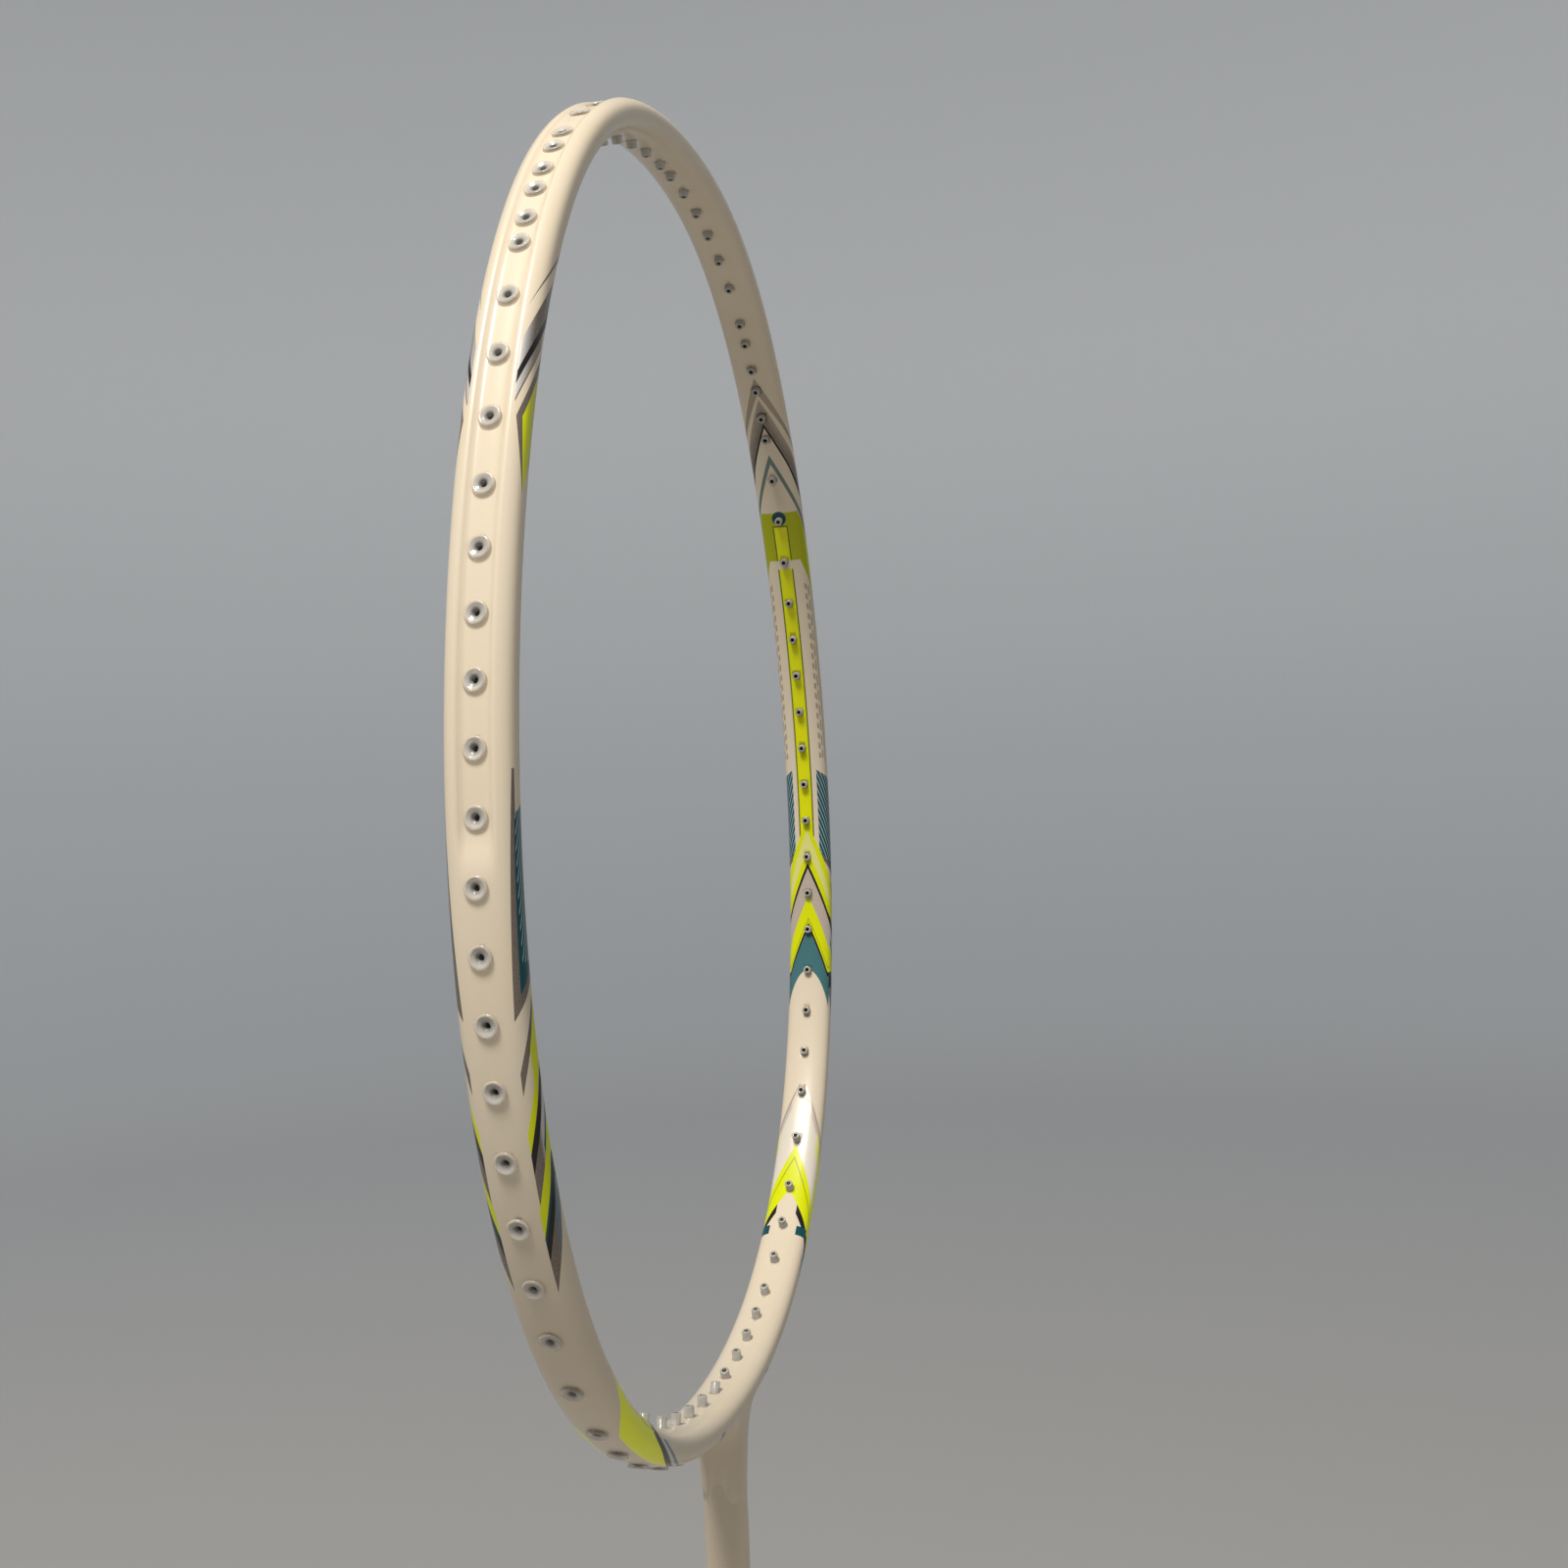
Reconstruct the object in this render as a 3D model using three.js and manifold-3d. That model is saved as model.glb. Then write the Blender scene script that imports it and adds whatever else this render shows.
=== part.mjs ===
// Badminton racket, unstrung: a hollow carbon hoop with its grommets, a hollow shaft, a cone,
// an octagonal wooden handle with its butt cap, and the wound grip.
// Millimetres. Origin at the centre of the flat butt face, +Z along the shaft to the head,
// X across the width of the head, Y square to the string plane.
import * as THREE from "three";
import { mergeVertices } from "three/addons/utils/BufferGeometryUtils.js";
import Module from "manifold-3d";

// ---- driving dimensions ----
const OVERALL_LENGTH = 675;
const CLEARANCE = 0.3; // between parts that touch
const TUBE = { beam: 10.8, radial: 6.4, wall: 1.1, squareness: 2.5 };
// The hoop's centreline, as a sum of a few harmonics of the angle from the crown.
const HOOP = {
  height: 250,
  halfWidth: 93.6,
  width: { second: -0.0164, third: -0.063, fourth: 0.0116 },
  rise: { second: 0.0057, third: -0.0709 },
};
const HOOP_STEPS = 38; // along each half of the hoop
const SECTION_SIDES = 14;
const BORE_SIDES = 6;

// Holes along one half of the hoop, from the crown to the throat, as runs of [count, pitch].
const FIRST_HOLE = 3.3;
const HOLE_RUNS = [
  [5, 9.0],
  [1, 10.7],
  [1, 5.6], [1, 7.2], [1, 5.6], [1, 7.2], [1, 5.6],
  [4, 10.7],
  [9, 9.54],
  [4, 10.65],
  [1, 12.7], [1, 13.6],
  [3, 10.8],
  [4, 8.65],
];
const HOLE = { radius: 1.3, sides: 6, throatSlant: 0.62 };
const GROMMET = { bore: 0.55, barrel: 0.95, flange: 1.65, flangeHeight: 0.55, proud: 1.3, sides: 6 };
const FIRST_OWN_GROMMET = 6; // the holes nearer the crown are numbered 1 to 5
const LAST_OWN_GROMMET = 30; // those nearer the throat are numbered 31 to 38

// The string groove round the outside, from the crown down past the widest point.
const GROOVE = { floor: 3.7, mouth: 5.5, depth: 0.55, end: 186, ramp: 6 };

const SHAFT = { radius: 3.55, topRadius: 4.45, bore: 2.5, bottom: 118, flareLength: 70 };
const THROAT = { length: 17, halfWidth: 15, depth: 9.6, bevel: 2.2, socket: 14 };
const SPIGOT = { above: 11, below: 20, radius: 2.2 };

const HANDLE = { width: 25.2, depth: 22.4, top: 172, flareWidth: 29.2, flareFrom: 26, flareTo: 12 };
const BORE_DEPTH = 60; // how far the shaft goes into the handle
const CAP = { height: 11, width: 31.5, depth: 28.2, edge: 2.2 };
const MEDALLION = { radius: 8.5, thickness: 1.4 };
const GRIP = { thickness: 1.7, bottom: 13, top: 171 };
const TAPE = { thickness: 0.35, height: 14 };
const CONE = { height: 40, collar: 9, baseRadius: 12.6, tipRadius: 5.2 };

// ---- colours and finishes ----
const finish = (color, roughness, metalness = 0) =>
  new THREE.MeshStandardMaterial({ color, roughness, metalness });
const PEARL = finish("#efe8da", 0.28);
const CARBON = finish("#2b2c2e", 0.5, 0.1);
const CLEAR = finish("#dfe8ea", 0.15);
const WOOD = finish("#c9a777", 0.6);
const GRIP_WHITE = finish("#e9e6df", 0.75);
const GLOSS_WHITE = finish("#f1eee6", 0.35);
const TAPE_GREY = finish("#8f8a82", 0.45);

// ---- joining and cutting ----
const wasm = await Module();
wasm.setup();

// The closed solid of a geometry, in millimetres.
function solid(geometry) {
  const plain = geometry.clone();
  plain.deleteAttribute("normal");
  plain.deleteAttribute("uv");
  const merged = mergeVertices(plain, 1e-4);
  return new wasm.Manifold(
    new wasm.Mesh({
      numProp: 3,
      vertProperties: new Float32Array(merged.attributes.position.array),
      triVerts: new Uint32Array(merged.index.array),
    }),
  );
}

// The geometry of a solid.
function geometryOf(body) {
  const mesh = body.getMesh();
  const geometry = new THREE.BufferGeometry();
  geometry.setAttribute("position", new THREE.BufferAttribute(new Float32Array(mesh.vertProperties), 3));
  geometry.setIndex(new THREE.BufferAttribute(new Uint32Array(mesh.triVerts), 1));
  const flat = geometry.toNonIndexed();
  flat.computeVertexNormals();
  return flat;
}

// A geometry mirrored to the other side of the plane X = 0, still facing out.
function mirrored(geometry) {
  const copy = geometry.index ? geometry.toNonIndexed() : geometry.clone();
  const place = copy.attributes.position;
  for (let corner = 0; corner < place.count; corner += 3) {
    const [a, b, c] = [0, 1, 2].map((k) =>
      new THREE.Vector3().fromBufferAttribute(place, corner + k),
    );
    [a, c, b].forEach((point, k) => place.setXYZ(corner + k, -point.x, point.y, point.z));
  }
  return copy;
}

// ---- the hoop's centreline ----
class HoopCurve extends THREE.Curve {
  constructor(offset = 0, from = 0, to = Math.PI) {
    super();
    Object.assign(this, { offset, from, to });
    this.arcLengthDivisions = 2000;
  }

  centre(angle) {
    const { width, rise } = HOOP;
    const halfRise = HOOP.height / 2 / (1 + rise.third);
    const across =
      Math.sin(angle) +
      width.second * Math.sin(2 * angle) +
      width.third * Math.sin(3 * angle) +
      width.fourth * Math.sin(4 * angle);
    const up = Math.cos(angle) + rise.second * Math.cos(2 * angle) + rise.third * Math.cos(3 * angle);
    return new THREE.Vector3(HOOP.halfWidth * across, 0, halfRise * up);
  }

  // The unit direction out of the hoop, square to the centreline.
  outward(angle) {
    const step = 1e-4;
    const along = this.centre(angle + step).sub(this.centre(angle - step)).normalize();
    return new THREE.Vector3(-along.z, 0, along.x);
  }

  getPoint(t, target = new THREE.Vector3()) {
    const angle = this.from + (this.to - this.from) * t;
    target.copy(this.centre(angle)).addScaledVector(this.outward(angle), this.offset);
    target.z += HOOP_ORIGIN;
    return target;
  }
}

const crownHeight =
  (HOOP.height / 2 / (1 + HOOP.rise.third)) * (1 + HOOP.rise.second + HOOP.rise.third);
const HOOP_ORIGIN = OVERALL_LENGTH - TUBE.radial / 2 - crownHeight;
const THROAT_CENTRE = OVERALL_LENGTH - TUBE.radial / 2 - HOOP.height;
const halfHoop = new HoopCurve();
const HALF_LENGTH = halfHoop.getLength();

// Where the centreline has run a length from the crown: the point, and the way out of the hoop.
function hoopStation(length) {
  const angle = Math.PI * halfHoop.getUtoTmapping(0, length);
  return { point: halfHoop.getPoint(angle / Math.PI), out: halfHoop.outward(angle), angle };
}

// The outline of the tube, or of its bore, as a superellipse: x along the beam, y across the tube.
function tubeOutline(beam, radial, sides) {
  const power = 2 / TUBE.squareness;
  const points = Array.from({ length: sides }, (_, k) => {
    const angle = (k / sides) * 2 * Math.PI;
    const [c, s] = [Math.cos(angle), Math.sin(angle)];
    return new THREE.Vector2(
      (beam / 2) * Math.sign(c) * Math.abs(c) ** power,
      (radial / 2) * Math.sign(s) * Math.abs(s) ** power,
    );
  });
  return new THREE.Shape(points);
}

// A shape run along half of the hoop and mirrored, as one closed ring.
function hoopRing(shape) {
  const half = new THREE.ExtrudeGeometry(shape, { steps: HOOP_STEPS, extrudePath: halfHoop });
  const place = half.attributes.position;
  for (let k = 0; k < place.count; k += 1) {
    if (Math.abs(place.getX(k)) < 1e-3) place.setX(k, 0);
  }
  return solid(half).add(solid(mirrored(half)));
}

// The string groove on one side, with a ramp at its lower end.
function groove() {
  const { floor, mouth, depth, end, ramp } = GROOVE;
  const outline = new THREE.Shape([
    new THREE.Vector2(-mouth / 2 - 0.5, -1),
    new THREE.Vector2(mouth / 2 + 0.5, -1),
    new THREE.Vector2(mouth / 2, 0),
    new THREE.Vector2(floor / 2, depth),
    new THREE.Vector2(-floor / 2, depth),
    new THREE.Vector2(-mouth / 2, 0),
  ]);
  const cut = (offset, from, to, steps) =>
    new THREE.ExtrudeGeometry(outline, {
      steps,
      extrudePath: new HoopCurve(offset, hoopStation(from).angle, hoopStation(to).angle),
    });
  const surface = TUBE.radial / 2;
  const full = cut(surface, 0, end - ramp, 20);
  const shallow = cut(surface + depth / 2, end - ramp * 1.05, end, 2);
  const place = full.attributes.position;
  for (let k = 0; k < place.count; k += 1) {
    if (Math.abs(place.getX(k)) < 1e-3) place.setX(k, 0);
  }
  return [solid(full).add(solid(mirrored(full))), solid(shallow), solid(mirrored(shallow))];
}

// Lengths from the crown to each hole of one half, in order.
function holeLengths() {
  const lengths = [FIRST_HOLE];
  for (const [count, pitch] of HOLE_RUNS) {
    for (let k = 0; k < count; k += 1) lengths.push(lengths[lengths.length - 1] + pitch);
  }
  return lengths;
}
const HOLES = holeLengths();

// A geometry made along +Z, turned so that +Z points along a direction and moved to a point.
function aimed(geometry, point, direction) {
  const turn = new THREE.Quaternion().setFromUnitVectors(new THREE.Vector3(0, 0, 1), direction);
  return geometry.applyQuaternion(turn).translate(point.x, point.y, point.z);
}

// A solid of revolution about Z from [radius, height] pairs, with a number of sides.
function turned(profile, sides, phase = 0) {
  const points = profile.map(([radius, height]) => new THREE.Vector2(radius, height));
  return new THREE.LatheGeometry(points, sides, phase).rotateX(Math.PI / 2);
}

const rod = (radius, from, to, sides) =>
  turned([[0, from], [radius, from], [radius, to], [0, to]], sides);

// The drill for one hole. The last hole by the throat slants outwards past the shaft.
function drill(index) {
  const { point, out } = hoopStation(HOLES[index]);
  const last = index === HOLES.length - 1;
  const way = last ? new THREE.Vector3(HOLE.throatSlant, 0, -1).normalize() : out;
  return aimed(rod(HOLE.radius, -6, last ? 8 : 6, HOLE.sides), point, way);
}

// ---- the pieces ----
// The flared root of the hoop that takes the shaft, as an outline in the XZ plane.
function throatBlend() {
  const top = THROAT_CENTRE;
  const bottom = THROAT_CENTRE - TUBE.radial / 2 - THROAT.length;
  const inner = SHAFT.topRadius - THROAT.bevel;
  const outline = new THREE.Shape();
  outline.moveTo(-inner, bottom + THROAT.bevel);
  outline.lineTo(inner, bottom + THROAT.bevel);
  outline.quadraticCurveTo(inner + 0.6, top - 6, THROAT.halfWidth - THROAT.bevel, top - 1.6);
  outline.lineTo(-THROAT.halfWidth + THROAT.bevel, top - 1.6);
  outline.quadraticCurveTo(-inner - 0.6, top - 6, -inner, bottom + THROAT.bevel);
  return new THREE.ExtrudeGeometry(outline, {
    depth: THROAT.depth - 2 * THROAT.bevel,
    bevelThickness: THROAT.bevel,
    bevelSize: THROAT.bevel,
    bevelSegments: 2,
    curveSegments: 4,
  })
    .translate(0, 0, -THROAT.depth / 2 + THROAT.bevel)
    .rotateX(Math.PI / 2);
}

function headFrame() {
  const { beam, radial, wall } = TUBE;
  const throatBottom = THROAT_CENTRE - radial / 2 - THROAT.length;
  let body = hoopRing(tubeOutline(beam, radial, SECTION_SIDES)).add(solid(throatBlend()));
  body = body.subtract(hoopRing(tubeOutline(beam - 2 * wall, radial - 2 * wall, BORE_SIDES)));
  body = body.subtract(
    solid(rod(SHAFT.bore, throatBottom - 2, throatBottom + THROAT.socket, 10)),
  );
  for (const cutter of groove()) body = body.subtract(cutter);
  HOLES.forEach((_, index) => {
    const cutter = drill(index);
    body = body.subtract(solid(cutter)).subtract(solid(mirrored(cutter)));
  });
  return geometryOf(body);
}

// One grommet, along +Z from its inner end to its flange, with the bore right through.
function grommet() {
  const { bore, barrel, flange, flangeHeight, proud, sides } = GROMMET;
  const inner = -TUBE.radial - proud;
  return turned(
    [
      [bore, inner],
      [barrel, inner],
      [barrel, CLEARANCE],
      [flange, CLEARANCE],
      [flange, CLEARANCE + flangeHeight],
      [bore, CLEARANCE + flangeHeight],
      [bore, inner],
    ],
    sides,
  );
}

// The outer surface under a grommet's flange: the groove's floor, or the plain tube.
const seatOffset = (length) => TUBE.radial / 2 - (length < GROOVE.end ? GROOVE.depth : 0);

// The shaft: a tube, a little fuller towards the head.
function shaftTube() {
  const top = THROAT_CENTRE - TUBE.radial / 2 - THROAT.length - CLEARANCE;
  return turned(
    [
      [SHAFT.bore, SHAFT.bottom],
      [SHAFT.radius, SHAFT.bottom],
      [SHAFT.radius, top - SHAFT.flareLength],
      [(SHAFT.radius + SHAFT.topRadius) / 2 - 0.1, top - SHAFT.flareLength / 3],
      [SHAFT.topRadius, top],
      [SHAFT.bore, top],
      [SHAFT.bore, SHAFT.bottom],
    ],
    16,
  );
}

// The plug that joins the shaft to the head inside.
function throatSpigot() {
  const seam = THROAT_CENTRE - TUBE.radial / 2 - THROAT.length;
  return rod(SPIGOT.radius, seam - SPIGOT.below, seam + SPIGOT.above, 10);
}

// An eight-sided body about Z: profile of [width, height] pairs, flats facing X and Y.
function octagonal(profile, depthRatio = HANDLE.depth / HANDLE.width) {
  const toCorner = 1 / Math.cos(Math.PI / 8) / 2;
  const geometry = turned(
    profile.map(([width, height]) => [width * toCorner, height]),
    8,
    Math.PI / 8,
  );
  return geometry.scale(1, depthRatio, 1);
}

const handleProfile = [
  [HANDLE.width, HANDLE.top],
  [HANDLE.width, HANDLE.flareFrom + CAP.height],
  [HANDLE.flareWidth - 1.4, HANDLE.flareTo + 6],
  [HANDLE.flareWidth, CAP.height + CLEARANCE],
];

function handleCore() {
  const profile = [[0, HANDLE.top], ...handleProfile, [0, CAP.height + CLEARANCE]].reverse();
  const bore = rod(SHAFT.radius + CLEARANCE, HANDLE.top - BORE_DEPTH, HANDLE.top + 1, 16);
  return geometryOf(solid(octagonal(profile)).subtract(solid(bore)));
}

function gripWrap() {
  const inner = 2 * CLEARANCE;
  const outer = 2 * (CLEARANCE + GRIP.thickness);
  const heights = [GRIP.top, HANDLE.flareFrom + CAP.height, HANDLE.flareTo + 6, GRIP.bottom];
  const inside = heights.map((height, k) => [handleProfile[k][0] + inner, height]);
  const outside = heights.map((height, k) => [handleProfile[k][0] + outer, height]).reverse();
  return octagonal([...outside, ...inside, outside[0]]);
}

function buttCap() {
  const { height, width, edge } = CAP;
  const ratio = CAP.depth / CAP.width;
  const body = octagonal(
    [
      [0, 0],
      [width - 2 * edge, 0],
      [width - edge / 2, edge / 2],
      [width, edge * 1.2],
      [width, height - 1],
      [width - 1.6, height],
      [0, height],
    ],
    ratio,
  );
  const recess = rod(MEDALLION.radius + CLEARANCE, -1, MEDALLION.thickness + CLEARANCE, 24);
  return geometryOf(solid(body).subtract(solid(recess)));
}

const medallion = () => rod(MEDALLION.radius, 0, MEDALLION.thickness, 24);

// The cone over the top of the handle, hollow round the shaft.
function cone() {
  const bottom = HANDLE.top + CLEARANCE;
  const { height, collar, baseRadius, tipRadius } = CONE;
  const hole = SHAFT.radius + CLEARANCE;
  const taper = Array.from({ length: 6 }, (_, k) => {
    const share = (k + 1) / 6;
    const radius = tipRadius + (baseRadius - 0.8 - tipRadius) * (1 - share) ** 1.6;
    return [radius, bottom + collar + (height - collar) * share];
  });
  return turned(
    [
      [hole, bottom],
      [baseRadius - 0.6, bottom],
      [baseRadius, bottom + 1.2],
      [baseRadius, bottom + collar - 1],
      ...taper,
      [hole, bottom + height],
      [hole, bottom],
    ],
    20,
  );
}

// The tape that holds the end of the grip at the top of the handle.
function finishingTape() {
  const start = 2 * (CLEARANCE * 2 + GRIP.thickness);
  const end = start + 2 * TAPE.thickness;
  const bottom = GRIP.top - TAPE.height;
  return octagonal([
    [HANDLE.width + end, bottom],
    [HANDLE.width + end, GRIP.top],
    [HANDLE.width + start, GRIP.top],
    [HANDLE.width + start, bottom],
    [HANDLE.width + end, bottom],
  ]);
}

// ---- the assembly ----
const racket = new THREE.Group();
racket.name = "badminton_racket";

function place(name, geometry, material, parent = racket) {
  const mesh = new THREE.Mesh(geometry, material);
  mesh.name = name;
  parent.add(mesh);
  return mesh;
}

place("head_frame", headFrame(), PEARL);
place("throat_spigot", throatSpigot(), CARBON);
place("shaft", shaftTube(), PEARL);
place("cone_cap", cone(), GLOSS_WHITE);
place("handle_core", handleCore(), WOOD);
place("butt_cap", buttCap(), GLOSS_WHITE);
place("butt_medallion", medallion(), TAPE_GREY);
place("grip_wrap", gripWrap(), GRIP_WHITE);
place("finishing_tape", finishingTape(), TAPE_GREY);

const grommets = new THREE.Group();
racket.add(grommets);
const plainGrommet = grommet();
for (let number = FIRST_OWN_GROMMET; number <= LAST_OWN_GROMMET; number += 1) {
  const length = HOLES[number - 1];
  const { point, out } = hoopStation(length);
  for (const side of [-1, 1]) {
    const seat = point.clone().addScaledVector(out, seatOffset(length));
    const name = `grommet_${side < 0 ? "left" : "right"}_${String(number).padStart(2, "0")}`;
    const mesh = place(name, plainGrommet.clone(), CLEAR, grommets);
    const way = new THREE.Vector3(side * out.x, 0, out.z);
    mesh.position.set(side * seat.x, 0, seat.z);
    mesh.quaternion.setFromUnitVectors(new THREE.Vector3(0, 0, 1), way);
  }
}

export default racket;
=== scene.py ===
# Badminton racket, unstrung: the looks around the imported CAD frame.
# Metres, in the CAD's frame: origin at the centre of the butt face, +Z up the shaft to the head,
# X across the head, Y square to the string plane.
import math
from bisect import bisect_right

import bmesh
import bpy
from mathutils import Matrix, Vector


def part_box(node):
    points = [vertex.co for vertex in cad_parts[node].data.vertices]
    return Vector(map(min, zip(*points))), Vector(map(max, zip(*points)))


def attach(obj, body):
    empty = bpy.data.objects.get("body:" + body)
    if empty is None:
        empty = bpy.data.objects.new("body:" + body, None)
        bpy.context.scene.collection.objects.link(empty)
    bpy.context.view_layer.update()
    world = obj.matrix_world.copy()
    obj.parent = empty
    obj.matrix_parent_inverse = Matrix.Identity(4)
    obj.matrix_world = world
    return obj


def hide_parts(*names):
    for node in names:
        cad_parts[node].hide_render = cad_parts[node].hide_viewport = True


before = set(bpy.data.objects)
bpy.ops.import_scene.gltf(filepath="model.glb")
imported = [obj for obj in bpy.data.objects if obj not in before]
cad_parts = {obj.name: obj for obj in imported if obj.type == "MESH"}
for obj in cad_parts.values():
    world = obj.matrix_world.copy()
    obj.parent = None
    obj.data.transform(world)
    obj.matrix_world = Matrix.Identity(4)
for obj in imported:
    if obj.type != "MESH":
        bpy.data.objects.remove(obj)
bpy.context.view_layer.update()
MM = 0.001

# ---- sizes taken from the frame ----
HEAD_LOW, HEAD_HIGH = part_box("head_frame")
SHAFT_LOW, SHAFT_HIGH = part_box("shaft")
CONE_LOW, CONE_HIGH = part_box("cone_cap")
CAP_LOW, CAP_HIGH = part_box("butt_cap")
GRIP_LOW, GRIP_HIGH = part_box("grip_wrap")
TAPE_LOW, TAPE_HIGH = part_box("finishing_tape")
MEDALLION_LOW, MEDALLION_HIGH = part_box("butt_medallion")

# ---- the hoop ----
TUBE_BEAM = 10.8 * MM
TUBE_RADIAL = 6.4 * MM
TUBE_SQUARENESS = 2.5
HOOP_HALF_WIDTH = 93.6 * MM
HOOP_HEIGHT = 250 * MM
WIDTH_SHARES = (1, -0.0164, -0.063, 0.0116)
RISE_SHARES = (1, 0.0057, -0.0709)
HALF_RISE = HOOP_HEIGHT / 2 / (1 + RISE_SHARES[2])
HOOP_ORIGIN = HEAD_HIGH.z - TUBE_RADIAL / 2 - HALF_RISE * sum(RISE_SHARES)
THROAT_CENTRE = HEAD_HIGH.z - TUBE_RADIAL / 2 - HOOP_HEIGHT
THROAT_BOTTOM = HEAD_LOW.z
SHAFT_RADIUS = 3.55 * MM
SHAFT_TOP_RADIUS = 4.45 * MM
SHAFT_FLARE = 70 * MM
SHAFT_INSIDE = 10 * MM  # how far the painted shaft runs up inside the root
SHAFT_TUCK = 0.25 * MM  # how much it narrows there

# The string groove round the outside of the hoop.
GROOVE_FLOOR = 3.7 * MM
GROOVE_MOUTH = 5.9 * MM
GROOVE_DEPTH = 1.0 * MM
GROOVE_END = 189 * MM
GROOVE_RAMP = 7 * MM
GROOVE_STRAIGHTNESS = 0.6  # how much of the wall is a plain slope, the rest being an S

# Holes along each half, from the crown: the first, then runs of (count, pitch).
FIRST_HOLE = 3.3 * MM
HOLE_RUNS = (
    (5, 9.0), (1, 10.7), (1, 5.6), (1, 7.2), (1, 5.6), (1, 7.2), (1, 5.6),
    (4, 10.7), (9, 9.54), (4, 10.65), (1, 12.7), (1, 13.6), (3, 10.8), (4, 8.65),
)
HOLE_RADIUS = 1.0 * MM
THROAT_HOLE_LEAN = 0.5  # how far the last hole leans outwards for each millimetre down
DRILL_LENGTH = 16 * MM
GROMMET_PROUD = 1.3 * MM
LONG_GROMMET_PROUD = 2.0 * MM
FIRST_LONG_GROMMET = 30
OWN_GROMMETS = range(6, 31)  # the hole numbers whose grommets are CAD nodes


def spaced(start, stop, count):
    """count + 1 values from start to stop."""
    return [start + (stop - start) * k / count for k in range(count + 1)]


def smooth(value, low, high):
    """0 below low, 1 above high, and an S between them."""
    share = min(1.0, max(0.0, (value - low) / (high - low)))
    return share * share * (3 - 2 * share)


# ---- the hoop's centreline ----
def hoop_centre(turn):
    """The centreline at an angle from the crown; positive angles run down the +X side."""
    across = sum(share * math.sin((k + 1) * turn) for k, share in enumerate(WIDTH_SHARES))
    up = sum(share * math.cos((k + 1) * turn) for k, share in enumerate(RISE_SHARES))
    return Vector((HOOP_HALF_WIDTH * across, 0, HOOP_ORIGIN + HALF_RISE * up))


TURNS = spaced(0, math.pi, 1500)
LENGTHS = [0.0]
for before, after in zip(TURNS, TURNS[1:]):
    LENGTHS.append(LENGTHS[-1] + (hoop_centre(after) - hoop_centre(before)).length)
HALF_LENGTH = LENGTHS[-1]


def hoop_station(length):
    """(point, way out of the hoop) at a length along the centreline, negative on the -X side."""
    side = -1 if length < 0 else 1
    run = min(abs(length), HALF_LENGTH)
    k = min(bisect_right(LENGTHS, run), len(LENGTHS) - 1)
    share = (run - LENGTHS[k - 1]) / (LENGTHS[k] - LENGTHS[k - 1])
    turn = side * (TURNS[k - 1] + share * (TURNS[k] - TURNS[k - 1]))
    step = 1e-4
    along = (hoop_centre(turn + step) - hoop_centre(turn - step)).normalized()
    return hoop_centre(turn), Vector((-along.z, 0, along.x))


def hole_lengths():
    lengths = [FIRST_HOLE]
    for count, pitch in HOLE_RUNS:
        for _ in range(count):
            lengths.append(lengths[-1] + pitch * MM)
    return lengths


HOLES = hole_lengths()

# ---- the tube's section ----
SECTION_STEPS = 64


def section(share):
    """(out, y) on the tube's plain outline; 0 and 1 are the middle of the inner face, 0.5 of the outer."""
    turn = share * 2 * math.pi
    power = 2 / TUBE_SQUARENESS
    c, s = math.cos(turn), math.sin(turn)
    out = -TUBE_RADIAL / 2 * math.copysign(abs(c) ** power, c)
    y = -TUBE_BEAM / 2 * math.copysign(abs(s) ** power, s)
    return out, y


GIRTH_STEPS = 1280
GIRTH = [0.0]
for k in range(GIRTH_STEPS):
    here, there = Vector(section(k / GIRTH_STEPS)), Vector(section((k + 1) / GIRTH_STEPS))
    GIRTH.append(GIRTH[-1] + (there - here).length)


def girth(share):
    """How far round the tube from the middle of the inner face, by the shorter way."""
    k = round(share * GIRTH_STEPS)
    return min(GIRTH[k], GIRTH[-1] - GIRTH[k])


def groove_depth(length, y):
    """How deep the string groove is at a length from the crown and a place across the beam."""
    foot, lip = GROOVE_FLOOR / 2, GROOVE_MOUTH / 2
    slope = min(max((abs(y) - foot) / (lip - foot), 0.0), 1.0)
    curve = smooth(abs(y), foot, lip)
    wall = 1 - (GROOVE_STRAIGHTNESS * slope + (1 - GROOVE_STRAIGHTNESS) * curve)
    run = 1 - smooth(abs(length), GROOVE_END - GROOVE_RAMP, GROOVE_END)
    return GROOVE_DEPTH * wall * run


# ---- the root that the shaft goes into ----
ROOT_HALF_WIDTH = 15 * MM
ROOT_TOP_RADIUS = SHAFT_TOP_RADIUS - 0.02 * MM
ROOT_DEPTH = THROAT_CENTRE - THROAT_BOTTOM
ROOT_BLEND = 1.8 * MM
ROOT_WIDTH_CURVE = 7  # how late the root widens towards the hoop, seen from the front
ROOT_BEAM_CURVE = 1.5  # and seen from the side
ROOT_SQUARING = 1.4  # how much squarer than round its section is at the hoop
ROOT_HALVINGS = 22


def root_depth(x, y):
    """How far the flared root reaches below the hoop's lowest centreline at a place in plan."""
    def outside(depth):
        left = 1 - depth / ROOT_DEPTH
        wider = (ROOT_HALF_WIDTH - ROOT_TOP_RADIUS) * left ** ROOT_WIDTH_CURVE
        deeper = (TUBE_BEAM / 2 - ROOT_TOP_RADIUS) * left ** ROOT_BEAM_CURVE
        power = 2 + ROOT_SQUARING * left
        across = abs(x) / (ROOT_TOP_RADIUS + wider)
        along = abs(y) / (ROOT_TOP_RADIUS + deeper)
        return across ** power + along ** power > 1

    low, high = 0.0, ROOT_DEPTH
    if outside(low):
        return 0.0
    if not outside(high):
        return high
    for _ in range(ROOT_HALVINGS):
        middle = (low + high) / 2
        if outside(middle):
            high = middle
        else:
            low = middle
    return low


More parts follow.
